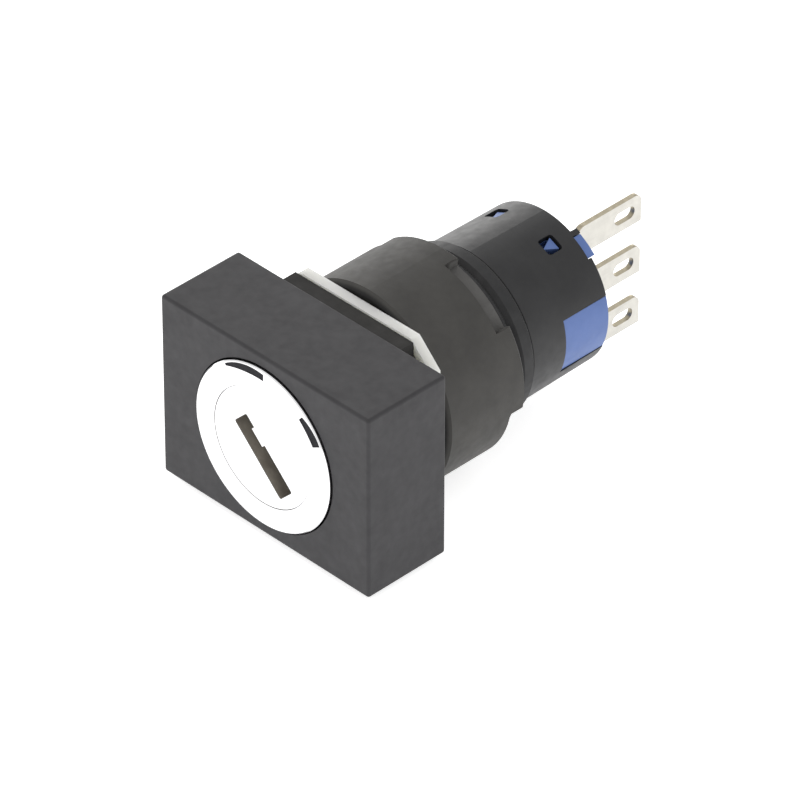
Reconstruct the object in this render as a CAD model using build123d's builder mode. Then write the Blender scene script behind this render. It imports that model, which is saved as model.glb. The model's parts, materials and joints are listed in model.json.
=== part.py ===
"""Selector key switch for a 16 mm panel hole: key lock, cam, plunger, changeover contact and mounting nut.

Frame: millimetres, +Z up, the barrel axis along Y, the face towards -Y.
The origin is on the barrel axis at the rear face of the rectangular head, which seats on the panel.
Angles named *_DEG run from +X towards +Z, seen from the front.
"""

from build123d import *
import os
from math import atan2, cos, degrees, radians, sin

os.makedirs("parts", exist_ok=True)

# ---- driving dimensions --------------------------------------------------------------------------
HEAD_W = 24.2  # rectangular head, along X
HEAD_H = 18.0  # rectangular head, along Z
HEAD_D = 8.75  # rectangular head, along Y
THREAD_R = 8.0  # crest radius of the M16 barrel
THREAD_PITCH = 1.0
THREAD_DEPTH = 0.35
BARREL_END = 14.65  # rear end of the threaded barrel
BORE_FRONT_R = 6.65  # bore that holds the lock shell
BORE_REAR_R = 7.0  # bore behind the shoulder
SHOULDER = 2.5  # the shoulder between the two bores
FACE_R = 7.83  # round chrome face
FACE_PROUD = 0.25  # the chrome face stands proud of the head
PLUG_R = 5.2
RUN = 0.05  # radial running clearance

KEY_DEG = 135.0  # direction of the key slot at rest
KEY_TURN_DEG = 90.0  # travel from the left position to the right one
WAFERS = 5
WAFER_PITCH = 1.5
WAFER_T = 0.9
WAFER_W = 5.4
WAFER_TRAVEL = 0.6
FIRST_WAFER = -5.9  # middle of the front wafer, along Y

LIFT = 0.8  # plunger travel over the whole key turn
PIVOT_Z = -4.4  # pivot of the changeover contact
NUT_R = 9.6
NUT_FRONT = 2.8
NUT_LENGTH = 9.05
SLEEVE_R = 7.5  # contact sleeve at its rear rim
SLEEVE_FRONT_R = 7.62  # moulding draft makes it wider in front
SLEEVE_BORE_R = 6.7
RIM = 23.85  # rear rim of the contact sleeve
LOW_RIM = 23.55  # its lower part
NOTCH_FRONT = 18.6  # front end of the sleeve's side notch
BLADE_X = 2.65  # inner face of the terminal blades
BLADE_T = 0.5
TIP = 32.0  # rear tips of the terminals
TERMINAL_PITCH = 5.25


# ---- helpers -------------------------------------------------------------------------------------
def at(y):
    """Plane across the barrel axis at y, seen from the front: its x is X and its y is Z."""
    return Plane.XZ.offset(-y)


def turned(points, mode=Mode.ADD):
    """Revolve a closed outline of (y, radius) points about the barrel axis."""
    with BuildSketch(Plane.YZ) as outline:
        with BuildLine():
            Polyline(*points, close=True)
        make_face()
    revolve(outline.sketch, axis=Axis.Y, mode=mode)


def disc(front, rear, outer, inner=0.0, centre=(0.0, 0.0), mode=Mode.ADD):
    """A disc or a ring between two places along the axis."""
    with BuildSketch(at(rear)) as profile:
        with Locations(centre):
            Circle(outer)
            if inner:
                Circle(inner, mode=Mode.SUBTRACT)
    extrude(profile.sketch, amount=rear - front, mode=mode)


def block(x, y, z, mode=Mode.ADD, turn=0.0):
    """A box from (low, high) pairs, its X-Z section turned by an angle about the barrel axis."""
    with BuildSketch(at(y[1])) as profile:
        with Locations(Rotation(0, 0, turn)):
            with Locations(((x[0] + x[1]) / 2, (z[0] + z[1]) / 2)):
                Rectangle(x[1] - x[0], z[1] - z[0])
    extrude(profile.sketch, amount=y[1] - y[0], mode=mode)


def sector(front, rear, outer, inner, start_deg, end_deg, mode=Mode.ADD):
    """Part of a ring between two angles."""
    a, b = radians(start_deg), radians(end_deg)
    mid = (a + b) / 2
    with BuildSketch(at(rear)) as profile:
        with BuildLine():
            ThreePointArc(*[(outer * cos(t), outer * sin(t)) for t in (a, mid, b)])
            Line((outer * cos(b), outer * sin(b)), (inner * cos(b), inner * sin(b)))
            ThreePointArc(*[(inner * cos(t), inner * sin(t)) for t in (b, mid, a)])
            Line((inner * cos(a), inner * sin(a)), (outer * cos(a), outer * sin(a)))
        make_face()
    extrude(profile.sketch, amount=rear - front, mode=mode)


def polar(radius, deg):
    return radius * cos(radians(deg)), radius * sin(radians(deg))


def coil(radius, wire, turns, start, end, centre=(0.0, 0.0, 0.0), direction=(0.0, 1.0, 0.0)):
    """A wire coil along a direction, from start to end."""
    path = Edge.make_helix((end - start) / turns, end - start, radius, (0, 0, 0), direction)
    path = Pos(*centre) * Pos(*[start * d for d in direction]) * path
    with BuildSketch(Plane(path @ 0, z_dir=path % 0)) as section:
        Circle(wire)
    sweep(section.sketch, path=path, is_frenet=True)


def finish(builder, name):
    """Name the piece and write it."""
    builder.part.label = name
    export_step(builder.part, f"parts/{name}.step")
    print(f"{name}: {len(builder.part.solids())} solid, {builder.part.volume:.2f} mm3")


# ---- bezel housing: rectangular head and threaded barrel, one moulding ---------------------------
FACE_HOLE_R = 7.98
FACE_HOLE_DEPTH = 1.5
END_CHAMFER = 0.3  # rear end of the barrel
THREAD_START = 1.9
THREAD_END = 14.2
KEY_GROOVE = (-7.2, -5.0)  # keyway of the lock shell's rib, along X, on the left of the bore
KEY_GROOVE_HALF = 0.8
RING_GROOVE_W = 2.1  # groove of the white ring's tongue, under the barrel
RING_GROOVE_FLOOR = 7.45
CORNER_R = 0.3  # corners of the head
FRONT_EDGE_R = 0.29
REAR_EDGE_R = 0.2
GASKET_SEAT_HALF = 9.6  # shallow channel across the rear of the head
GASKET_SEAT_DEPTH = 0.1
TAB_SEAT_FRONT = 6.8  # seat of the detent spring's tab, at the top of the bore
TAB_SEAT_HALF = 0.85
TAB_SEAT = (5.0, 7.3)


def thread_outline():
    """Barrel outline from the head to the rear end, with one V groove for each turn of the thread."""
    points = [(0.0, THREAD_R)]
    half = 0.42 * THREAD_PITCH
    groove = THREAD_START
    while groove + half <= THREAD_END:
        points += [(groove - half, THREAD_R), (groove, THREAD_R - THREAD_DEPTH), (groove + half, THREAD_R)]
        groove += THREAD_PITCH
    points += [(BARREL_END - END_CHAMFER, THREAD_R), (BARREL_END, THREAD_R - END_CHAMFER)]
    return points


with BuildPart() as bezel_housing:
    with BuildSketch(at(0.0)):
        RectangleRounded(HEAD_W, HEAD_H, CORNER_R)
    extrude(amount=HEAD_D)
    fillet(bezel_housing.faces().sort_by(Axis.Y)[0].edges(), FRONT_EDGE_R)
    fillet(bezel_housing.faces().sort_by(Axis.Y)[-1].edges(), REAR_EDGE_R)
    block(
        (-GASKET_SEAT_HALF, GASKET_SEAT_HALF),
        (-GASKET_SEAT_DEPTH, 1.0),
        (-HEAD_H, HEAD_H),
        mode=Mode.SUBTRACT,
    )
    disc(-HEAD_D, -HEAD_D + FACE_HOLE_DEPTH, FACE_HOLE_R, mode=Mode.SUBTRACT)
    turned([(-1.0, 0.0)] + [(-1.0, THREAD_R)] + thread_outline() + [(BARREL_END, 0.0)])
    disc(-HEAD_D, SHOULDER, BORE_FRONT_R, mode=Mode.SUBTRACT)
    disc(SHOULDER, BARREL_END, BORE_REAR_R, mode=Mode.SUBTRACT)
    # keyway for the lock shell's rib
    block(KEY_GROOVE, (-HEAD_D, SHOULDER), (-KEY_GROOVE_HALF, KEY_GROOVE_HALF), mode=Mode.SUBTRACT)
    # groove for the white ring's tongue, along the underside of the thread
    block(
        (-RING_GROOVE_W / 2, RING_GROOVE_W / 2),
        (1.2, BARREL_END),
        (-THREAD_R - 1, -RING_GROOVE_FLOOR),
        mode=Mode.SUBTRACT,
    )
    # seat for the detent spring's tab
    block((-TAB_SEAT_HALF, TAB_SEAT_HALF), (TAB_SEAT_FRONT, BARREL_END), TAB_SEAT, mode=Mode.SUBTRACT)
finish(bezel_housing, "bezel_housing")

# ---- panel gasket --------------------------------------------------------------------------------
GASKET_END = 1.5
GASKET_GAP = 0.02  # fit between two touching pieces
BARREL_CLEARANCE = 0.1
# upper right quarter of its outline: the sides step in twice towards each corner
GASKET_CORNER = ((6.85, 8.77), (6.9, 7.6), (7.45, 6.95), (8.2, 6.15))
with BuildPart() as panel_gasket:
    with BuildSketch(at(GASKET_END)):
        with BuildLine():
            Polyline(
                (0.0, GASKET_CORNER[0][1]),
                *GASKET_CORNER,
                (GASKET_CORNER[-1][0], 0.0),
                (0.0, 0.0),
                close=True,
            )
        make_face()
        mirror(about=Plane.YZ)
        mirror(about=Plane.XZ)
        Circle(THREAD_R + BARREL_CLEARANCE, mode=Mode.SUBTRACT)
    extrude(amount=GASKET_END + GASKET_SEAT_DEPTH - GASKET_GAP)
finish(panel_gasket, "panel_gasket")

# ---- white ring, keyed to the barrel -------------------------------------------------------------
RING_FRONT = 1.6
RING_END = 2.65
RING_HALF = 8.9
RING_CHAMFER = 2.45
RING_EDGE = 0.1  # broken edge round its rear face
TONGUE_LOW = RING_GROOVE_FLOOR + 0.15
TONGUE_W = RING_GROOVE_W - 0.2
with BuildPart() as anti_rotation_ring:
    with BuildSketch(at(RING_END)) as ring_outline:
        Rectangle(2 * RING_HALF, 2 * RING_HALF)
        chamfer(ring_outline.vertices(), RING_CHAMFER)
        Circle(THREAD_R + BARREL_CLEARANCE, mode=Mode.SUBTRACT)
        with Locations((0, -(TONGUE_LOW + RING_HALF) / 2)):
            Rectangle(TONGUE_W, RING_HALF - TONGUE_LOW)
    extrude(amount=RING_END - RING_FRONT)
    chamfer(anti_rotation_ring.faces().sort_by(Axis.Y)[-1].outer_wire().edges(), RING_EDGE)
finish(anti_rotation_ring, "anti_rotation_ring")

# ---- round mounting nut, with four spanner notches in its rear rim -------------------------------
NUT_END = NUT_FRONT + NUT_LENGTH
NUT_NOTCHES = 4
NUT_NOTCH_DEG = 44.0
FIRST_NOTCH_DEG = 58.0  # middle of the first notch
NUT_NOTCH_FRONT = 10.15
NUT_NOTCH_FLOOR = 8.6
NUT_FRONT_CHAMFER = 0.45
NUT_REAR_CHAMFER = 0.25
BORE_CHAMFER = 0.3
NUT_BORE_R = THREAD_R + RUN
with BuildPart() as locking_nut:
    turned([
        (NUT_FRONT, NUT_BORE_R + BORE_CHAMFER),
        (NUT_FRONT, NUT_R - NUT_FRONT_CHAMFER),
        (NUT_FRONT + NUT_FRONT_CHAMFER, NUT_R),
        (NUT_END - NUT_REAR_CHAMFER, NUT_R),
        (NUT_END, NUT_R - NUT_REAR_CHAMFER),
        (NUT_END, NUT_BORE_R + BORE_CHAMFER),
        (NUT_END - BORE_CHAMFER, NUT_BORE_R),
        (NUT_FRONT + BORE_CHAMFER, NUT_BORE_R),
    ])
    for i in range(NUT_NOTCHES):
        middle = FIRST_NOTCH_DEG + i * 360.0 / NUT_NOTCHES
        sector(
            NUT_NOTCH_FRONT,
            NUT_END + 0.1,
            NUT_R + 0.5,
            NUT_NOTCH_FLOOR,
            middle - NUT_NOTCH_DEG / 2,
            middle + NUT_NOTCH_DEG / 2,
            mode=Mode.SUBTRACT,
        )
finish(locking_nut, "locking_nut")

# ---- lock shell: fixed chrome body of the key lock -----------------------------------------------
SHELL_R = 6.6
SHELL_END = 5.5
SHELL_CHAMFER = 0.3
COLLAR_R = 5.6  # front collar of the plug
COLLAR_D = 0.9
COLLAR_GAP = 0.03  # round the collar
SHELL_EDGE = 0.1  # broken edge of the chrome face
FACE_Y = -HEAD_D - FACE_PROUD
FLANGE_END = -HEAD_D + FACE_HOLE_DEPTH - 0.05  # rear of the round face, just clear of the head's floor
RIB = ((-7.1, -6.0), (FLANGE_END, 1.5), (-0.7, 0.7))  # rib in the head's keyway
CHANNEL_R = PLUG_R + WAFER_TRAVEL + 0.15  # wafer channels reach this radius
CHANNEL_HALF = WAFER_W / 2 + RUN
CHANNEL_FRONT = FIRST_WAFER - 0.7
CHANNEL_END = FIRST_WAFER + (WAFERS - 1) * WAFER_PITCH + 0.7
CLIP_GROOVE = (2.55, 3.25)
CLIP_GROOVE_R = 6.05
CLIP_R = (6.95, 6.1)  # C-ring that holds the shell: its outer and inner radii, and its ends
CLIP_DEG = (-55.0, 235.0)
CLIP_PLAY = 0.05
MARK_DEPTH = 0.12
MARK_FILL = 0.6 * MARK_DEPTH
# each mark: its start and end angles, then its inner and its outer radii at the start, middle and end
MARKS = (
    (124.0, 88.0, (7.4, 6.98, 6.85), (7.62, 7.66, 7.5)),
    (50.0, 28.5, (6.78, 6.74, 6.76), (7.35, 7.64, 7.68)),
)


def mark_outline(mark):
    """Face of one index mark: a tapering arc between its start and its end."""
    start, end, inner_radii, outer_radii = mark
    angles = (start, (start + end) / 2, end)
    inner = [polar(r, a) for r, a in zip(inner_radii, angles)]
    outer = [polar(r, a) for r, a in zip(outer_radii, angles)][::-1]
    with BuildSketch(at(FACE_Y + MARK_DEPTH)) as face:
        with BuildLine():
            ThreePointArc(*inner)
            Line(inner[-1], outer[0])
            ThreePointArc(*outer)
            Line(outer[-1], inner[0])
        make_face()
    return face.sketch


with BuildPart() as lock_shell:
    turned([
        (FACE_Y, COLLAR_R + COLLAR_GAP), (FACE_Y, FACE_R - SHELL_EDGE), (FACE_Y + SHELL_EDGE, FACE_R),
        (FLANGE_END, FACE_R), (FLANGE_END, SHELL_R), (CLIP_GROOVE[0], SHELL_R),
        (CLIP_GROOVE[0], CLIP_GROOVE_R), (CLIP_GROOVE[1], CLIP_GROOVE_R), (CLIP_GROOVE[1], SHELL_R),
        (SHELL_END - SHELL_CHAMFER, SHELL_R), (SHELL_END, SHELL_R - SHELL_CHAMFER), (SHELL_END, PLUG_R + RUN),
        (FACE_Y + COLLAR_D, PLUG_R + RUN), (FACE_Y + COLLAR_D, COLLAR_R + COLLAR_GAP),
    ])
    block(*RIB)
    disc(-HEAD_D, CLIP_GROOVE[0], PLUG_R + RUN, mode=Mode.SUBTRACT)
    # channels that take the wafers at the left and at the right key position
    for position in (KEY_DEG, KEY_DEG - KEY_TURN_DEG):
        with BuildSketch(at(CHANNEL_END)) as channel:
            Circle(CHANNEL_R)
            with Locations(Rotation(0, 0, position)):
                with Locations((CHANNEL_R, 0)):
                    Rectangle(2 * CHANNEL_R, 2 * CHANNEL_HALF, mode=Mode.INTERSECT)
        extrude(channel.sketch, amount=CHANNEL_END - CHANNEL_FRONT, mode=Mode.SUBTRACT)
    for mark in MARKS:
        extrude(mark_outline(mark), amount=MARK_DEPTH, mode=Mode.SUBTRACT)
finish(lock_shell, "lock_shell")

with BuildPart() as index_marks:
    for mark in MARKS:
        extrude(mark_outline(mark), amount=MARK_FILL)
finish(index_marks, "index_marks")

with BuildPart() as shell_clip:
    sector(CLIP_GROOVE[0] + CLIP_PLAY, CLIP_GROOVE[1] - CLIP_PLAY, *CLIP_R, *CLIP_DEG)
finish(shell_clip, "shell_clip")

# ---- lock plug -----------------------------------------------------------------------------------
PLUG_FACE = FACE_Y + 0.02
PLUG_EDGE = 0.04
PLUG_END = 5.55
NECK_R = 2.8
NECK_END = 6.35
TANG = 4.0
TANG_END = 8.0
SCREW_R = 1.0
SCREW_HOLE = 4.5  # front end of the screw's hole in the plug
PLUG_CLIP_R = 5.9
PLUG_CLIP_HALF_DEG = 150.0
KEYWAY_END = 1.9
KEYWAY_W = 1.95
KEYWAY_LOW = -4.42  # ends of the slot along its own direction
KEYWAY_HIGH = 3.06
KEYWAY_SIDE = -0.5  # the slot's middle line, across its own direction
WARD_W = 0.4
WARD_LENGTH = 1.7
WARD_MIDDLE = 0.9
LUG_W = 0.95  # wafer lug that its spring pushes
LUG = (-0.5, 0.5)
SPRING_POCKET = (-2.8, 1.25)
WINDOW_CUTS = (0.0, 0.25, 0.1, 0.35, 0.15)  # each wafer's window is shorter by its own depth of key cut


def wafer_y(i):
    return FIRST_WAFER + i * WAFER_PITCH


def keyway():
    """Section of the key slot, with a ward that narrows it on its upper right side."""
    with BuildSketch() as section:
        with Locations(((KEYWAY_LOW + KEYWAY_HIGH) / 2, -KEYWAY_SIDE)):
            RectangleRounded(KEYWAY_HIGH - KEYWAY_LOW, KEYWAY_W, 0.2)
        with Locations((WARD_MIDDLE, -KEYWAY_SIDE - KEYWAY_W / 2)):
            Rectangle(WARD_LENGTH, 2 * WARD_W, mode=Mode.SUBTRACT)
    return section.sketch


def key_plane(y):
    """Plane across the axis whose x runs along the key slot at rest, seen from the front."""
    direction = (cos(radians(KEY_DEG)), 0.0, sin(radians(KEY_DEG)))
    return Plane(origin=(0, y, 0), x_dir=direction, z_dir=(0, -1, 0))


with BuildPart() as lock_plug:
    turned([
        (PLUG_FACE, 0.0), (PLUG_FACE, COLLAR_R - PLUG_EDGE), (PLUG_FACE + PLUG_EDGE, COLLAR_R),
        (FACE_Y + COLLAR_D - RUN, COLLAR_R), (FACE_Y + COLLAR_D - RUN, PLUG_R), (PLUG_END, PLUG_R),
        (PLUG_END, NECK_R), (NECK_END, NECK_R), (NECK_END, 0.0),
    ])
    with BuildSketch(key_plane(TANG_END)):
        Rectangle(TANG, TANG)
    extrude(amount=TANG_END - NECK_END)
    with BuildSketch(key_plane(KEYWAY_END)):
        add(keyway())
    extrude(amount=KEYWAY_END - FACE_Y, mode=Mode.SUBTRACT)
    for i in range(WAFERS):
        with BuildSketch(key_plane(wafer_y(i) + WAFER_T / 2 + RUN)):
            Rectangle(3 * PLUG_R, WAFER_W + 2 * RUN)
            with Locations(((SPRING_POCKET[0] + SPRING_POCKET[1]) / 2, WAFER_W / 2 + LUG_W / 2)):
                Rectangle(SPRING_POCKET[1] - SPRING_POCKET[0], LUG_W + 2 * RUN)
        extrude(amount=WAFER_T + 2 * RUN, mode=Mode.SUBTRACT)
    disc(SCREW_HOLE, TANG_END, SCREW_R + 0.02, mode=Mode.SUBTRACT)
finish(lock_plug, "lock_plug")

with BuildPart() as plug_clip:
    sector(
        PLUG_END + 0.1,
        NECK_END - 0.15,
        PLUG_CLIP_R,
        NECK_R + 0.03,
        KEY_DEG - PLUG_CLIP_HALF_DEG,
        KEY_DEG + PLUG_CLIP_HALF_DEG,
    )
finish(plug_clip, "plug_clip")

# ---- wafer tumblers and their springs ------------------------------------------------------------
for i in range(WAFERS):
    with BuildPart() as wafer:
        with BuildSketch(key_plane(wafer_y(i) + WAFER_T / 2)):
            Circle(PLUG_R - RUN)
            Rectangle(3 * PLUG_R, WAFER_W, mode=Mode.INTERSECT)
            with Locations(((LUG[0] + LUG[1]) / 2, WAFER_W / 2 + LUG_W / 2 - 0.05)):
                Rectangle(LUG[1] - LUG[0], LUG_W)
            with Locations(((KEYWAY_LOW + KEYWAY_HIGH + WINDOW_CUTS[i]) / 2, -KEYWAY_SIDE)):
                RectangleRounded(
                    KEYWAY_HIGH - KEYWAY_LOW + 0.1 - WINDOW_CUTS[i],
                    KEYWAY_W + 0.3,
                    0.3,
                    mode=Mode.SUBTRACT,
                )
        extrude(amount=WAFER_T)
    finish(wafer, f"wafer_{i + 1}")

    spring_plane = key_plane(wafer_y(i))
    with BuildPart() as wafer_spring:
        seat = spring_plane.from_local_coords(Vector(0, WAFER_W / 2 + LUG_W / 2, 0))
        along = spring_plane.x_dir
        coil(0.3, 0.075, 5, SPRING_POCKET[0] + 0.12, LUG[0] - 0.12,
             centre=tuple(seat), direction=tuple(along))
    finish(wafer_spring, f"wafer_spring_{i + 1}")

# ---- cam driver, its screw and the detent spring -------------------------------------------------
CAM_FRONT = 6.45
CAM_END = 9.0
CAM_R = 5.0
WEB = (8.1, 8.6)
DIMPLE_AT = 5.3  # four dimples that the detent spring clicks into
DIMPLE_R = 0.75
HEAD_R = 1.85  # the cam screw's head
HEAD_END = 9.5
SLOT_FLOOR = 9.15
SLOT_HALF = (1.3, 0.2)
FOLLOWER_DEG = 90.0  # where the plunger's first pad stands
PAD_HALF_DEG = 10.0
RAMP_START = 0.2  # height of the ramp above the cam where the pad stands at rest
RAMP_IN = 3.0
RAMP_OUT = 4.9


def helical(start_deg, sweep_deg, y_start, rise, back):
    """A sector between RAMP_IN and RAMP_OUT whose helical face climbs along +Y as the angle grows.

    The face starts at y_start, and the body reaches back from it by the given depth along Y,
    which is negative towards the front.
    """
    middle = (RAMP_IN + RAMP_OUT) / 2
    pitch = rise * 360.0 / sweep_deg
    path = Edge.make_helix(pitch, rise, middle, (0, 0, 0), (0, 1, 0), lefthand=True)
    begin = path @ 0
    turn = start_deg - degrees(atan2(begin.Z, begin.X))
    path = Pos(0, y_start, 0) * Rotation(0, -turn, 0) * path
    out_x, out_z = polar(1.0, start_deg)
    with BuildSketch(Plane(origin=path @ 0, x_dir=(out_x, 0, out_z), z_dir=path % 0)) as section:
        up = 1 if section.workplanes[0].y_dir.Y > 0 else -1
        with Locations((0, up * back / 2)):
            Rectangle(RAMP_OUT - RAMP_IN, abs(back))
    sweep(section.sketch, path=path, is_frenet=True)


with BuildPart() as cam_driver:
    disc(CAM_FRONT, CAM_END, CAM_R)
    slope = LIFT / KEY_TURN_DEG
    lead_in = PAD_HALF_DEG + 2.0
    for first in (FOLLOWER_DEG, FOLLOWER_DEG + 180.0):
        ramp_deg = KEY_TURN_DEG + 2 * lead_in
        helical(first - lead_in, ramp_deg, CAM_END + RAMP_START - slope * lead_in, slope * ramp_deg, -0.6)
    with BuildSketch(key_plane(WEB[0])):
        Rectangle(TANG + 2 * RUN, TANG + 2 * RUN)
    extrude(amount=WEB[0] - CAM_FRONT, mode=Mode.SUBTRACT)
    disc(CAM_FRONT, CAM_END, SCREW_R + 0.1, mode=Mode.SUBTRACT)
    disc(WEB[1], CAM_END, HEAD_R + 0.25, mode=Mode.SUBTRACT)
    for quarter in range(4):
        disc(CAM_FRONT, CAM_END, DIMPLE_R, centre=polar(DIMPLE_AT, 90.0 * quarter), mode=Mode.SUBTRACT)
finish(cam_driver, "cam_driver")

with BuildPart() as cam_screw:
    disc(SCREW_HOLE + 0.2, WEB[1] + 0.02, SCREW_R)
    disc(WEB[1] + 0.02, HEAD_END, HEAD_R)
    fillet(cam_screw.faces().sort_by(Axis.Y)[-1].edges(), 0.25)
    for half_x, half_z in (SLOT_HALF, SLOT_HALF[::-1]):
        block((-half_x, half_x), (SLOT_FLOOR, HEAD_END + 0.1), (-half_z, half_z), mode=Mode.SUBTRACT)
finish(cam_screw, "cam_screw")

DETENT = (6.9, 8.5)
DETENT_R = (6.65, 6.35)
DETENT_DEG = (-22.0, 202.0)
TAB_HALF = 0.75
TAB = (6.4, 7.25)
with BuildPart() as detent_spring:
    sector(*DETENT, *DETENT_R, *DETENT_DEG)
    for side in (0.0, 180.0):
        disc(*DETENT, DIMPLE_R - 0.1, centre=polar(DIMPLE_AT + 0.05, side))
        block((DIMPLE_AT, DETENT_R[0] - 0.15), DETENT, (-0.4, 0.4), turn=side)
    block((-TAB_HALF, TAB_HALF), DETENT, TAB)
finish(detent_spring, "detent_spring")

# ---- plunger and its return spring ---------------------------------------------------------------
PLUNGER = (10.4, 11.2)
PLUNGER_R = 5.8
PAD_GAP = 0.06
STEM_HALF_X = 1.5
STEM_HALF_Z = 0.7
BLADE = (17.25, 17.55)
NOSE = BLADE[0] - RUN - STEM_HALF_Z  # middle of the round nose

with BuildPart() as plunger:
    disc(*PLUNGER, PLUNGER_R)
    for first in (FOLLOWER_DEG, FOLLOWER_DEG + 180.0):
        helical(
            first - PAD_HALF_DEG,
            2 * PAD_HALF_DEG,
            CAM_END + RAMP_START + PAD_GAP - slope * PAD_HALF_DEG,
            slope * 2 * PAD_HALF_DEG,
            PLUNGER[0] + 0.2 - CAM_END - RAMP_START,
        )
    with BuildSketch(Plane.YZ):
        with Locations(((PLUNGER[1] + NOSE) / 2, 0)):
            Rectangle(NOSE - PLUNGER[1] + 0.2, 2 * STEM_HALF_Z)
        with Locations((NOSE, 0)):
            Circle(STEM_HALF_Z)
    extrude(amount=STEM_HALF_X, both=True)
    # room for the screw head when the plunger is forward
    disc(PLUNGER[0], PLUNGER[0] + 0.3, HEAD_R + 0.25, mode=Mode.SUBTRACT)
finish(plunger, "plunger")

GUIDE = (15.2, 15.9)
POST_X = (4.8, 6.0)  # the two posts that hold the guide off the base
POST_HALF = 1.5
POST_END = 18.97
with BuildPart() as return_spring:
    coil(2.6, 0.2, 4, PLUNGER[1] + 0.25, GUIDE[0] - 0.25)
finish(return_spring, "return_spring")

with BuildPart() as plunger_guide:
    disc(*GUIDE, SLEEVE_BORE_R - RUN)
    for side in (0.0, 180.0):
        block(POST_X, (GUIDE[1] - 0.1, POST_END), (-POST_HALF, POST_HALF), turn=side)
    block(
        (-STEM_HALF_X - RUN, STEM_HALF_X + RUN),
        (GUIDE[0] - 1, GUIDE[1] + 1),
        (-STEM_HALF_Z - RUN, STEM_HALF_Z + RUN),
        mode=Mode.SUBTRACT,
    )
finish(plunger_guide, "plunger_guide")

# ---- contact sleeve: rear barrel -----------------------------------------------------------------
SPIGOT_FRONT = 11.6
SPIGOT_BORE_R = 6.2
SPIGOT_CHAMFER = 0.2
SLEEVE_SEAT = BARREL_END + 0.02  # the sleeve's step meets the rear end of the barrel
SLEEVE_CHAMFER = 0.15
RIM_CHAMFER = 0.12
CUT_R = 5.0  # cuts through the sleeve's wall start inside its bore
NOTCH_DEG = (-24.0, 18.0)
LOW_RIM_DEG = (66.0, 205.0)
KEY_DEGS = (44.5, 62.0)  # notch in the rim that takes the base's key
KEY_FRONT = 23.4
TOOTH_END = 24.3  # the rim's tooth, between the key and the low rim
WINDOW_DEG = (65.0, 114.0, -65.0, -114.0)
WINDOW_Y = 21.05
WINDOW_HALF = 0.82
CATCH_DEPTH = 0.7  # how far the catches' pockets go into the base


def radial_plane(radius, deg):
    """Plane that faces outwards behind a window: its x runs along the barrel axis."""
    x, z = polar(radius, deg)
    out_x, out_z = polar(1.0, deg)
    return Plane(origin=(x, WINDOW_Y, z), x_dir=(0, 1, 0), z_dir=(out_x, 0, out_z))


with BuildPart() as contact_sleeve:
    turned([
        (SPIGOT_FRONT, SPIGOT_BORE_R),
        (SPIGOT_FRONT, BORE_REAR_R - RUN - SPIGOT_CHAMFER),
        (SPIGOT_FRONT + SPIGOT_CHAMFER, BORE_REAR_R - RUN),
        (SLEEVE_SEAT, BORE_REAR_R - RUN),
        (SLEEVE_SEAT, SLEEVE_FRONT_R - SLEEVE_CHAMFER),
        (SLEEVE_SEAT + SLEEVE_CHAMFER, SLEEVE_FRONT_R),
        (RIM - RIM_CHAMFER, SLEEVE_R),
        (RIM, SLEEVE_R - RIM_CHAMFER),
        (RIM, SLEEVE_BORE_R),
        (GUIDE[0] - RUN, SLEEVE_BORE_R),
        (GUIDE[0] - RUN, SPIGOT_BORE_R),
    ])
    for front, degs in ((LOW_RIM, LOW_RIM_DEG), (KEY_FRONT, KEY_DEGS), (NOTCH_FRONT, NOTCH_DEG)):
        sector(front, RIM + 0.1, SLEEVE_R + 1, CUT_R, *degs, mode=Mode.SUBTRACT)
    sector(RIM - 0.2, TOOTH_END, SLEEVE_R - 0.05, SLEEVE_BORE_R, KEY_DEGS[1], LOW_RIM_DEG[0])
    for angle in WINDOW_DEG:
        with BuildSketch(radial_plane(SLEEVE_BORE_R - 0.5, angle)) as window:
            RectangleRounded(2 * WINDOW_HALF, 2 * WINDOW_HALF, 0.3)
        extrude(window.sketch, amount=2.0, mode=Mode.SUBTRACT)
finish(contact_sleeve, "contact_sleeve")

# ---- terminals -----------------------------------------------------------------------------------
BASE = (19.0, 23.75)
BLADE_START = RIM + 0.05  # the wide part of each blade begins behind the rim
BLADE_START_NC = TOOTH_END + 0.1  # and this one's behind the tooth
BLADE_HALF = 1.4
EYELET_Y = 30.0
EYELET_LENGTH = 2.4
EYELET_W = 1.2
TIP_R = 0.75
NECK_NC = (4.0, 5.75)  # low and high edges of the terminals' necks
NECK_NO = (-0.9, 0.9)
NECK_COMMON = (-5.75, -4.0)
CONTACT_Z = 4.0  # height of the changeover contacts
PLATE_NO = (19.85, 20.3)
ARM_NC = (16.05, 16.5)
REST_COMMON = (17.65, 18.1)
PIVOT_Y = (BLADE[0] + BLADE[1]) / 2


def terminal_blade(z, neck, neck_front, start=BLADE_START):
    """Solder-lug blade that stands behind the base, with the neck that runs through the base."""
    with BuildSketch(Plane.YZ.offset(BLADE_X)) as blade:
        with Locations(((start + TIP) / 2, z)):
            Rectangle(TIP - start, 2 * BLADE_HALF)
        tips = blade.vertices().sort_by(Axis.Y)[-2:]
        fillet(tips, TIP_R)
        with Locations(((neck_front + start) / 2, (neck[0] + neck[1]) / 2)):
            Rectangle(start - neck_front, neck[1] - neck[0])
        with Locations((EYELET_Y, z)):
            SlotOverall(EYELET_LENGTH, EYELET_W, mode=Mode.SUBTRACT)
    extrude(blade.sketch, amount=BLADE_T)


X_ARM = (-1.2, BLADE_X + BLADE_T)
with BuildPart() as terminal_nc:
    terminal_blade(TERMINAL_PITCH, NECK_NC, ARM_NC[0], start=BLADE_START_NC)
    block(X_ARM, ARM_NC, (3.2, 4.9))
finish(terminal_nc, "terminal_nc")

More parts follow.
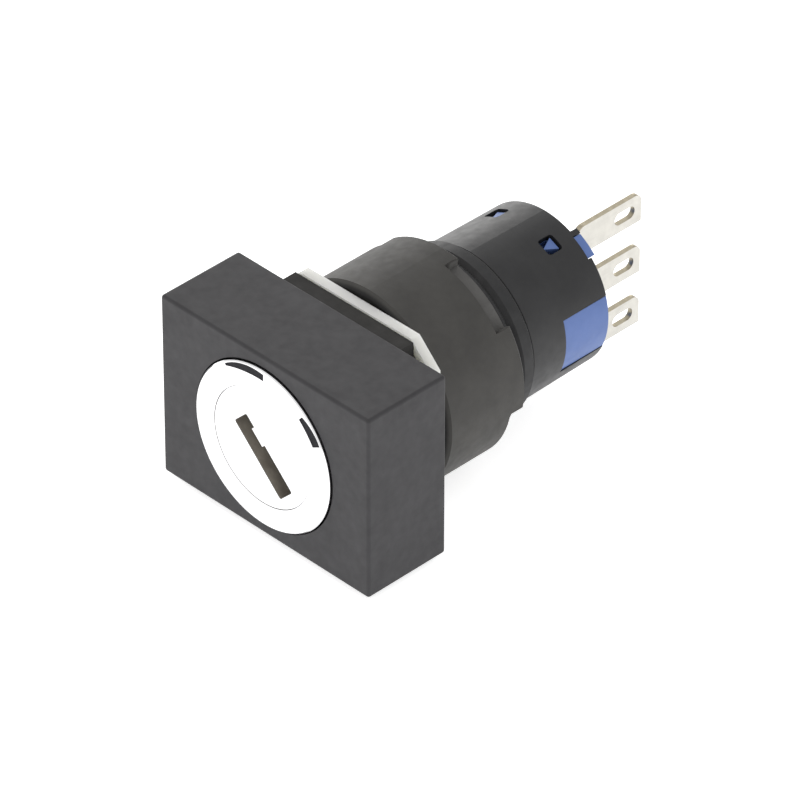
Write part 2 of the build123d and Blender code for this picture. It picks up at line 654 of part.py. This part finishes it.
with BuildPart() as terminal_no:
    terminal_blade(0.0, NECK_NO, PLATE_NO[0])
    block(X_ARM, PLATE_NO, NECK_NO)
    block((X_ARM[0], -X_ARM[0]), PLATE_NO, (NECK_NO[1] - 0.1, CONTACT_Z + 0.85))
finish(terminal_no, "terminal_no")

EAR_X = (1.25, 1.5)  # the two ears that hold the changeover contact's pivot
TRUNNION_R = 0.3
with BuildPart() as terminal_common:
    terminal_blade(-TERMINAL_PITCH, NECK_COMMON, REST_COMMON[0])
    block((-EAR_X[1], X_ARM[1]), REST_COMMON, (-5.0, NECK_COMMON[1]))
    for ear in (EAR_X, (-EAR_X[1], -EAR_X[0])):
        block(ear, (PIVOT_Y - 0.5, REST_COMMON[0] + 0.1), (PIVOT_Z - 0.5, PIVOT_Z + 0.4))
    with BuildSketch(Plane.YZ) as pivot_hole:
        with Locations((PIVOT_Y, PIVOT_Z)):
            Circle(TRUNNION_R + RUN)
    extrude(pivot_hole.sketch, amount=EAR_X[1] + 0.1, both=True, mode=Mode.SUBTRACT)
finish(terminal_common, "terminal_common")

# ---- changeover contacts -------------------------------------------------------------------------
MOVING = (16.9, 17.9)  # front and rear faces of the moving contact
NC_FACE = MOVING[0] - RUN
NO_FACE = 19.5
CONTACT_R = 0.8
RIVET_R = 0.4
with BuildPart() as fixed_contact_nc:
    disc(ARM_NC[1] + 0.01, NC_FACE, CONTACT_R, centre=(0, CONTACT_Z))
finish(fixed_contact_nc, "fixed_contact_nc")

with BuildPart() as fixed_contact_no:
    disc(NO_FACE, PLATE_NO[0] - 0.01, CONTACT_R, centre=(0, CONTACT_Z))
finish(fixed_contact_no, "fixed_contact_no")

with BuildPart() as contact_blade:
    with BuildSketch(at(BLADE[1])):
        RectangleRounded(2.4, 9.8, 0.5)
        with Locations((0, CONTACT_Z)):
            Circle(RIVET_R + 0.02, mode=Mode.SUBTRACT)
    extrude(amount=BLADE[1] - BLADE[0])
    with BuildSketch(Plane.YZ) as trunnion:
        with Locations((PIVOT_Y, PIVOT_Z)):
            Circle(TRUNNION_R)
    extrude(trunnion.sketch, amount=EAR_X[1] - 0.02, both=True)
finish(contact_blade, "contact_blade")

with BuildPart() as moving_contact:
    disc(MOVING[0], BLADE[0] - 0.01, CONTACT_R, centre=(0, CONTACT_Z))
    disc(BLADE[0] - 0.1, BLADE[1] + 0.1, RIVET_R, centre=(0, CONTACT_Z))
    disc(BLADE[1] + 0.01, MOVING[1], CONTACT_R, centre=(0, CONTACT_Z))
finish(moving_contact, "moving_contact")

SPRING_Z = -2.3
with BuildPart() as contact_spring:
    coil(0.7, 0.1, 3, BLADE[1] + 0.14, BASE[0] - 0.14, centre=(0, 0, SPRING_Z))
finish(contact_spring, "contact_spring")

# ---- terminal base: blue block behind the contacts -----------------------------------------------
BASE_R = SLEEVE_BORE_R - RUN
PAD_R = 7.45
KEY_R = 7.4
PAD_ROOT_R = 6.2
KEY_END = 24.25
KEY_ROOT_R = 5.6
KEY_LIP_R = 6.75  # inner radius of the key's end, behind the rim
KEY_PLAY_DEG = 0.5
PASSAGE_GAP = 0.03  # round the terminals
BLANK_DEPTH = 1.2  # depth of the blank passages
CATCH_OUTLINE = ((-0.7, 0.0), (0.6, 0.62), (0.6, -0.62))
with BuildPart() as terminal_base:
    disc(*BASE, BASE_R)
    pad_degs = (NOTCH_DEG[0] + KEY_PLAY_DEG, NOTCH_DEG[1] - KEY_PLAY_DEG)
    key_degs = (KEY_DEGS[0] + KEY_PLAY_DEG, KEY_DEGS[1] - KEY_PLAY_DEG)
    sector(NOTCH_FRONT + 0.06, BASE[1], PAD_R, PAD_ROOT_R, *pad_degs)
    # key in the rim's notch, whose end stands proud of the rim
    sector(KEY_FRONT + 0.05, BASE[1], KEY_R, KEY_ROOT_R, *key_degs)
    sector(BASE[1] - 0.1, KEY_END, KEY_R, KEY_LIP_R, *key_degs)
    # each window shows a three-cornered catch that stands in its own pocket
    for angle in WINDOW_DEG:
        with BuildSketch(radial_plane(BASE_R - CATCH_DEPTH, angle)) as pocket:
            RectangleRounded(2 * WINDOW_HALF - 0.1, 2 * WINDOW_HALF - 0.1, 0.3)
            with BuildLine():
                Polyline(*CATCH_OUTLINE, close=True)
            make_face(mode=Mode.SUBTRACT)
        extrude(pocket.sketch, amount=CATCH_DEPTH + 0.5, mode=Mode.SUBTRACT)
        with BuildSketch(radial_plane(BASE_R - CATCH_DEPTH, angle)) as catch:
            with BuildLine():
                Polyline(*CATCH_OUTLINE, close=True)
            make_face()
        extrude(catch.sketch, amount=CATCH_DEPTH + 0.65)
    # passages for the terminals, with blank ones in the second column
    passage_x = (BLADE_X - PASSAGE_GAP, BLADE_X + BLADE_T + PASSAGE_GAP)
    blank_x = (-passage_x[1], -passage_x[0])
    for low, high in (NECK_NC, NECK_NO, NECK_COMMON):
        passage_z = (low - PASSAGE_GAP, high + PASSAGE_GAP)
        block(passage_x, (BASE[0] - 1, RIM + 1), passage_z, mode=Mode.SUBTRACT)
        block(blank_x, (BASE[1] - BLANK_DEPTH, RIM + 1), passage_z, mode=Mode.SUBTRACT)
    # pocket for the normally open plate
    pocket_y = (BASE[0] - 1, PLATE_NO[1] + 0.05)
    block((X_ARM[0] - 0.3, X_ARM[1] + PASSAGE_GAP), pocket_y, (-1.1, 0.95), mode=Mode.SUBTRACT)
    block((-1.6, 1.6), pocket_y, (0.9, 5.1), mode=Mode.SUBTRACT)
finish(terminal_base, "terminal_base")
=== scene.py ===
"""Looks of the selector key switch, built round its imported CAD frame. Lengths are in metres."""

import json
from math import cos, pi, radians, sin

import bpy
from mathutils import Matrix, Vector


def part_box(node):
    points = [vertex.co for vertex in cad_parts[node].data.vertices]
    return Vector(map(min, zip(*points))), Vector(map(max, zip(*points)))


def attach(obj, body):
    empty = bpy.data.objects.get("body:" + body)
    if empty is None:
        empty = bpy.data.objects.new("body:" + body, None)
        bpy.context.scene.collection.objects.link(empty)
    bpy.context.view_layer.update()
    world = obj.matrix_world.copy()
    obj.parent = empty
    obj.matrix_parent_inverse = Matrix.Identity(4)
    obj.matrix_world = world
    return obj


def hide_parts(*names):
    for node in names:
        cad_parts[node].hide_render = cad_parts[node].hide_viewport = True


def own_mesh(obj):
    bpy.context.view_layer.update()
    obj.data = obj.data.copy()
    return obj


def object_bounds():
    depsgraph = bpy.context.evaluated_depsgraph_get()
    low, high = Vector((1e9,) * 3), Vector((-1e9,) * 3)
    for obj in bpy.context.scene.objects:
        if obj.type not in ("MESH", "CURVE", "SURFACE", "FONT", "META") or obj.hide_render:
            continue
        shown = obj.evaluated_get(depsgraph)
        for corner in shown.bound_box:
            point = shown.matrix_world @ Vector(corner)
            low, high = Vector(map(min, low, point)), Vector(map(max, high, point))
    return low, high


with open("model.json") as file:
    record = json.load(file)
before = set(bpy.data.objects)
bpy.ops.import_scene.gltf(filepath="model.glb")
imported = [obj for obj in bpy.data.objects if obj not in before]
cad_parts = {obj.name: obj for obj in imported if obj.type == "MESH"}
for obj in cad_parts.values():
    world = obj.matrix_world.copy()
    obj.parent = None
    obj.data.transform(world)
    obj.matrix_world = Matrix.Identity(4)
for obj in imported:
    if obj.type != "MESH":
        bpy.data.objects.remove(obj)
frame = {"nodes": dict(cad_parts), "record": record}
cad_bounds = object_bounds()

MM = 0.001
NODES = frame["nodes"]


# ---- camera --------------------------------------------------------------------------------------
CAMERA_AZIMUTH = radians(45.3)
CAMERA_ELEVATION = radians(36.8)
CAMERA_ROLL = radians(0.1)
CAMERA_DISTANCE = 600 * MM
CAMERA_LENS = 331.2
AIM = Vector((0.0, -4.67 * MM, 0.0))
FRAMING = (8.13 * MM, 2.06 * MM)  # the camera stands this far to its right and up from the aim
SENSOR_WIDTH = 36.0
CLIP = (0.01, 20.0)


def make_camera():
    back = Vector((
        sin(CAMERA_AZIMUTH) * cos(CAMERA_ELEVATION),
        -cos(CAMERA_AZIMUTH) * cos(CAMERA_ELEVATION),
        sin(CAMERA_ELEVATION),
    ))
    right = Vector((cos(CAMERA_AZIMUTH), sin(CAMERA_AZIMUTH), 0.0))
    right = Matrix.Rotation(CAMERA_ROLL, 3, back) @ right
    up = back.cross(right)
    place = AIM + back * CAMERA_DISTANCE + right * FRAMING[0] + up * FRAMING[1]
    data = bpy.data.cameras.new("camera")
    data.lens = CAMERA_LENS
    data.sensor_width = SENSOR_WIDTH
    data.clip_start, data.clip_end = CLIP
    camera = bpy.data.objects.new("camera", data)
    camera.matrix_world = Matrix((
        (right.x, up.x, back.x, place.x),
        (right.y, up.y, back.y, place.y),
        (right.z, up.z, back.z, place.z),
        (0, 0, 0, 1),
    ))
    bpy.context.scene.collection.objects.link(camera)
    bpy.context.scene.camera = camera


make_camera()


# ---- materials -----------------------------------------------------------------------------------
NOISE_RANGE = (0.3, 0.7)  # most values of a noise lie between these


class Shader:
    """A Principled material and short ways to add nodes to it."""

    def __init__(self, name):
        self.material = bpy.data.materials.new(name)
        self.material.use_nodes = True
        self.tree = self.material.node_tree
        self.bsdf = self.tree.nodes["Principled BSDF"]
        self.coords = self.tree.nodes.new("ShaderNodeTexCoord")

    def node(self, kind, **settings):
        """Add a node and set its properties."""
        node = self.tree.nodes.new(kind)
        for key, value in settings.items():
            setattr(node, key, value)
        return node

    def link(self, a, b):
        self.tree.links.new(a, b)

    def noise(self, per_mm, detail=3.0, roughness=0.5, stretch=(1, 1, 1)):
        """Noise with this many cells to a millimetre."""
        scaling = self.node("ShaderNodeMapping")
        scaling.inputs["Scale"].default_value = [per_mm / MM * s for s in stretch]
        self.link(self.coords.outputs["Object"], scaling.inputs["Vector"])
        texture = self.node("ShaderNodeTexNoise")
        texture.inputs["Scale"].default_value = 1.0
        texture.inputs["Detail"].default_value = detail
        texture.inputs["Roughness"].default_value = roughness
        self.link(scaling.outputs["Vector"], texture.inputs["Vector"])
        return texture.outputs["Fac"]

    def ramp(self, value, low, high, positions=NOISE_RANGE):
        """Turn a value into a colour or grey level that runs from low to high between two positions."""
        ramp = self.node("ShaderNodeValToRGB")
        for element, position, colour in zip(ramp.color_ramp.elements, positions, (low, high)):
            element.position = position
            element.color = (*colour, 1) if isinstance(colour, tuple) else (colour, colour, colour, 1)
        self.link(value, ramp.inputs["Fac"])
        return ramp.outputs["Color"]

    def mix(self, factor, a, b):
        """Blend two colour outputs by a third."""
        mix = self.node("ShaderNodeMix", data_type="RGBA")
        self.link(factor, mix.inputs[0])
        self.link(a, mix.inputs[6])
        self.link(b, mix.inputs[7])
        return mix.outputs[2]

    def along(self, axis, source="Object"):
        """One coordinate of the surface point, or with source Normal of its normal, as a size."""
        split = self.node("ShaderNodeSeparateXYZ")
        self.link(self.coords.outputs[source], split.inputs[0])
        size = self.node("ShaderNodeMath", operation="ABSOLUTE")
        self.link(split.outputs[axis], size.inputs[0])
        return size.outputs[0]

    def from_axis(self):
        """Distance of the surface point from the barrel axis."""
        flat = self.node("ShaderNodeVectorMath", operation="MULTIPLY")
        flat.inputs[1].default_value = (1, 0, 1)
        self.link(self.coords.outputs["Object"], flat.inputs[0])
        length = self.node("ShaderNodeVectorMath", operation="LENGTH")
        self.link(flat.outputs["Vector"], length.inputs[0])
        return length.outputs["Value"]

    def step(self, value, off_mm, on_mm):
        """A smooth mask: 0 where the value is on the off side, 1 where it is on the on side."""
        falls = off_mm > on_mm
        ranged = self.node("ShaderNodeMapRange", interpolation_type="SMOOTHSTEP")
        ranged.inputs["From Min"].default_value = min(off_mm, on_mm) * MM
        ranged.inputs["From Max"].default_value = max(off_mm, on_mm) * MM
        ranged.inputs["To Min"].default_value = 1.0 if falls else 0.0
        ranged.inputs["To Max"].default_value = 0.0 if falls else 1.0
        self.link(value, ranged.inputs["Value"])
        return ranged.outputs["Result"]

    def times(self, a, b):
        """Product of two masks."""
        product = self.node("ShaderNodeMath", operation="MULTIPLY")
        self.link(a, product.inputs[0])
        self.link(b, product.inputs[1])
        return product.outputs[0]

    def recolour(self, mask, dark, light):
        """Cover the base colour with a mottled one where the mask is 1."""
        below = self.bsdf.inputs["Base Color"].links[0].from_socket
        above = self.ramp(self.noise(0.8), dark, light)
        self.link(self.mix(mask, below, above), self.bsdf.inputs["Base Color"])

    def bump(self, height, strength, depth_mm, under=None):
        """A normal raised by this height, over another normal if one is given."""
        bump = self.node("ShaderNodeBump")
        bump.inputs["Strength"].default_value = strength
        bump.inputs["Distance"].default_value = depth_mm * MM
        self.link(height, bump.inputs["Height"])
        if under is not None:
            self.link(under, bump.inputs["Normal"])
        return bump.outputs["Normal"]


def moulded(name, dark, light, rough, grain_depth=0.006, specular=0.5):
    """Moulded plastic: a fine spark-eroded grain, slight colour drift and uneven gloss."""
    s = Shader(name)
    drift = s.noise(0.35, detail=4.0, roughness=0.6)
    s.link(s.ramp(drift, dark, light), s.bsdf.inputs["Base Color"])
    s.link(s.ramp(s.noise(1.3), rough - 0.05, rough + 0.05), s.bsdf.inputs["Roughness"])
    grain = s.bump(s.noise(6.0, detail=2.0), strength=0.5, depth_mm=grain_depth)
    sink = s.bump(s.noise(0.25, detail=2.0), strength=0.3, depth_mm=0.02, under=grain)
    s.link(sink, s.bsdf.inputs["Normal"])
    s.bsdf.inputs["Specular IOR Level"].default_value = specular
    return s


def metal(name, colour, rough, per_mm=4.0, depth=0.002):
    """Bare or plated metal with fine working marks."""
    s = Shader(name)
    s.bsdf.inputs["Metallic"].default_value = 1.0
    low = tuple(0.92 * c for c in colour)
    s.link(s.ramp(s.noise(0.6), low, colour), s.bsdf.inputs["Base Color"])
    marks = s.noise(per_mm, detail=4.0, roughness=0.6)
    s.link(s.ramp(marks, max(rough - 0.06, 0.02), rough + 0.06), s.bsdf.inputs["Roughness"])
    s.link(s.bump(marks, strength=0.4, depth_mm=depth), s.bsdf.inputs["Normal"])
    return s


def stamped_strip(name, face, edge, rough):
    """Tinned strip: rolled along Y, with bare brass where the die sheared its edges."""
    s = Shader(name)
    s.bsdf.inputs["Metallic"].default_value = 1.0
    tin = s.ramp(s.noise(0.9, detail=4.0, roughness=0.6), tuple(0.86 * c for c in face), face)
    brass = s.ramp(s.noise(2.5), tuple(0.8 * c for c in edge), edge)
    flat = s.ramp(s.along("X", "Normal"), 0.0, 1.0, positions=(0.70, 0.97))
    s.link(s.mix(flat, brass, tin), s.bsdf.inputs["Base Color"])
    rolling = s.noise(5.0, detail=4.0, roughness=0.6, stretch=(1.0, 0.08, 1.0))
    s.link(s.ramp(rolling, rough - 0.06, rough + 0.08), s.bsdf.inputs["Roughness"])
    s.link(s.bump(rolling, strength=0.5, depth_mm=0.003), s.bsdf.inputs["Normal"])
    return s


SLEEVE_DARK = (0.012, 0.012, 0.013)
SLEEVE_LIGHT = (0.020, 0.020, 0.021)
CHROME = dict(colour=(0.90, 0.90, 0.91), rough=0.10, per_mm=1.0, depth=0.0006)


def head_nylon():
    """The head is matt; the thread behind it takes the sleeve's darker colours as painted shade."""
    s = moulded("black_nylon", (0.025, 0.024, 0.0265), (0.034, 0.033, 0.036), 0.58, specular=0.42)
    # painted shade: past 10 to 11 mm along Y the thread is coloured as dark as the sleeve
    s.recolour(s.step(s.along("Y"), 10.0, 11.0), SLEEVE_DARK, SLEEVE_LIGHT)
    return s


def nut_nylon():
    """Painted shade darkens the front of each spanner notch, and painted light makes its floor lighter."""
    s = moulded("nut_nylon", (0.044, 0.0425, 0.040), (0.058, 0.056, 0.052), 0.58, specular=0.28)
    inside = s.step(s.from_axis(), 9.5, 9.2)
    front = s.times(inside, s.step(s.along("Y"), 10.75, 10.4))
    floor = s.times(inside, s.step(s.along("Y"), 10.7, 11.0))
    # painted shade: near-black band at the front wall of each notch
    s.recolour(front, 0.004, 0.008)
    # painted light: the notch floor is coloured lighter where light falls on it
    s.recolour(floor, (0.075, 0.073, 0.07), (0.10, 0.098, 0.095))
    return s


def ring_acetal():
    """White acetal lets light through, so its shaded faces stay bright."""
    s = moulded("white_acetal", (0.66, 0.66, 0.62), (0.72, 0.72, 0.68), 0.5, grain_depth=0.002, specular=0.3)
    s.bsdf.inputs["Subsurface Weight"].default_value = 0.8
    s.bsdf.inputs["Subsurface Radius"].default_value = (1.0, 1.0, 0.9)
    s.bsdf.inputs["Subsurface Scale"].default_value = 2.5 * MM
    return s


def plug_chrome():
    """Chrome plating outside; dull bare metal inside the key slot, also darkened as painted shade."""
    s = metal("plug_chrome", **CHROME)
    inside = s.step(s.along("Y"), 8.97, 8.93)
    # bare metal colour inside the key slot, kept dark as painted shade
    s.recolour(inside, (0.20, 0.18, 0.155), (0.30, 0.275, 0.235))
    s.link(s.ramp(inside, 1.0, 0.0, positions=(0.0, 1.0)), s.bsdf.inputs["Metallic"])
    return s


MATERIALS = {
    "black_nylon": head_nylon(),
    "nut_nylon": nut_nylon(),
    "sleeve_nylon": moulded("sleeve_nylon", SLEEVE_DARK, SLEEVE_LIGHT, 0.44, specular=0.38),
    "white_acetal": ring_acetal(),
    "blue_pbt": moulded(
        "blue_pbt", (0.080, 0.142, 0.355), (0.100, 0.168, 0.405), 0.45, grain_depth=0.003, specular=0.4
    ),
    "black_rubber": moulded(
        "black_rubber",
        (0.018, 0.0172, 0.0162),
        (0.029, 0.0278, 0.0262),
        0.75,
        grain_depth=0.004,
        specular=0.3,
    ),
    "chrome": metal("chrome", **CHROME),
    "mark_fill": moulded(
        "mark_fill", (0.006, 0.006, 0.009), (0.012, 0.012, 0.016), 0.6, grain_depth=0.002, specular=0.2
    ),
    "brass": metal("brass", (0.62, 0.50, 0.34), 0.35),
    "tinned_brass": stamped_strip("tinned_brass", (0.60, 0.585, 0.54), (0.42, 0.375, 0.28), 0.36),
    "spring_steel": metal("spring_steel", (0.62, 0.62, 0.64), 0.25),
    "steel": metal("steel", (0.6, 0.6, 0.62), 0.3),
    "silver_alloy": metal("silver_alloy", (0.85, 0.85, 0.83), 0.25),
    "white_nylon": moulded("white_nylon", (0.70, 0.70, 0.64), (0.76, 0.76, 0.71), 0.45, grain_depth=0.002),
    "bronze": metal("bronze", (0.72, 0.50, 0.32), 0.3),
}
TERMINAL_EDGE = 0.07 * MM


def dress(node, shader):
    """Give a CAD node its material."""
    data = NODES[node].data
    data.materials.clear()
    data.materials.append(shader.material)


def round_edges(node, width):
    """Round the sharp edges of a CAD node."""
    weld = NODES[node].modifiers.new("weld", "WELD")
    weld.merge_threshold = 1e-7
    bevel = NODES[node].modifiers.new("edges", "BEVEL")
    bevel.width = width
    bevel.segments = 3
    bevel.limit_method = "ANGLE"
    bevel.angle_limit = radians(40)
    bevel.harden_normals = True


for part in frame["record"]["subparts"]:
    dress(part["node"], MATERIALS[part["material_slot"]])
dress("lock_plug", plug_chrome())
for terminal in ("terminal_nc", "terminal_no", "terminal_common"):
    round_edges(terminal, TERMINAL_EDGE)


# ---- compression springs -------------------------------------------------------------------------
POINTS_A_TURN = 24
CLOSED_RISE = 2.1  # rise of a closed turn, in wire radii


def coil_spring(node, wire, free_turns):
    """Spring along the barrel in the place of a CAD node, with one closed turn at each end.

    The wire is given by its radius.
    """
    low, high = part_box(node)
    middle = (low + high) / 2
    radius = (high.x - low.x) / 2 - wire
    start, end = low.y + wire, high.y - wire
    closed = CLOSED_RISE * wire
    free = (end - start - 2 * closed) / free_turns
    curve = bpy.data.curves.new(node + "_wire", "CURVE")
    curve.dimensions = "3D"
    curve.bevel_depth = wire
    curve.bevel_resolution = 3
    curve.use_fill_caps = True
    spline = curve.splines.new("POLY")
    count = (free_turns + 2) * POINTS_A_TURN + 1
    spline.points.add(count - 1)
    y = start
    for i, point in enumerate(spline.points):
        angle = 2 * pi * i / POINTS_A_TURN
        point.co = (middle.x + radius * cos(angle), y, middle.z + radius * sin(angle), 1)
        in_end = i < POINTS_A_TURN or i >= count - 1 - POINTS_A_TURN
        y += (closed if in_end else free) / POINTS_A_TURN
    wire_object = bpy.data.objects.new(curve.name, curve)
    mesh = bpy.data.meshes.new_from_object(wire_object)
    bpy.data.objects.remove(wire_object)
    mesh.materials.clear()
    mesh.materials.append(MATERIALS["spring_steel"].material)
    for face in mesh.polygons:
        face.use_smooth = True
    spring = bpy.data.objects.new(node + "_coil", mesh)
    bpy.context.scene.collection.objects.link(spring)
    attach(spring, "housing")
    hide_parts(node)
    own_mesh(spring)


coil_spring("return_spring", wire=0.2 * MM, free_turns=4)
coil_spring("contact_spring", wire=0.1 * MM, free_turns=2)


# ---- floor, light and backdrop -------------------------------------------------------------------
FLOOR_HALF = 1.5
FLOOR_GAP = 0.05 * MM  # between the object and the floor
FLOOR_GLOW = 0.68  # a light table, so that the shadow stays faint
WORLD_GLOW = 0.92


def make_stage():
    """The floor, just below the object."""
    mesh = bpy.data.meshes.new("floor")
    z = cad_bounds[0][2] - FLOOR_GAP
    corners = [(x * FLOOR_HALF, y * FLOOR_HALF, z) for x, y in ((-1, -1), (1, -1), (1, 1), (-1, 1))]
    mesh.from_pydata(corners, [], [(0, 1, 2, 3)])
    floor = bpy.data.objects.new("floor", mesh)
    bpy.context.scene.collection.objects.link(floor)
    s = Shader("floor")
    s.link(s.ramp(s.noise(0.01), 0.86, 0.90), s.bsdf.inputs["Base Color"])
    s.bsdf.inputs["Roughness"].default_value = 0.7
    s.bsdf.inputs["Emission Color"].default_value = (1, 1, 1, 1)
    s.bsdf.inputs["Emission Strength"].default_value = FLOOR_GLOW
    mesh.materials.append(s.material)


def area_light(name, place, aim, size, power, colour):
    """A square soft light that faces the aim."""
    data = bpy.data.lights.new(name, "AREA")
    data.size = size
    data.energy = power
    data.color = colour
    light = bpy.data.objects.new(name, data)
    light.location = place
    light.rotation_euler = (Vector(aim) - Vector(place)).to_track_quat("-Z", "Y").to_euler()
    bpy.context.scene.collection.objects.link(light)


make_stage()
area_light("edge", place=(-0.66, 0.45, 0.13), aim=(0, 0.01, 0), size=0.5, power=2.0, colour=(1.0, 0.99, 0.97))
area_light("top", place=(-0.15, -0.25, 0.70), aim=(0, 0, 0), size=0.5, power=0.3, colour=(1.0, 0.88, 0.76))
world = bpy.data.worlds.new("studio")
world.use_nodes = True
world.node_tree.nodes["Background"].inputs["Color"].default_value = (1, 1, 1, 1)
world.node_tree.nodes["Background"].inputs["Strength"].default_value = WORLD_GLOW
bpy.context.scene.world = world
bpy.context.scene.view_settings.view_transform = "Standard"
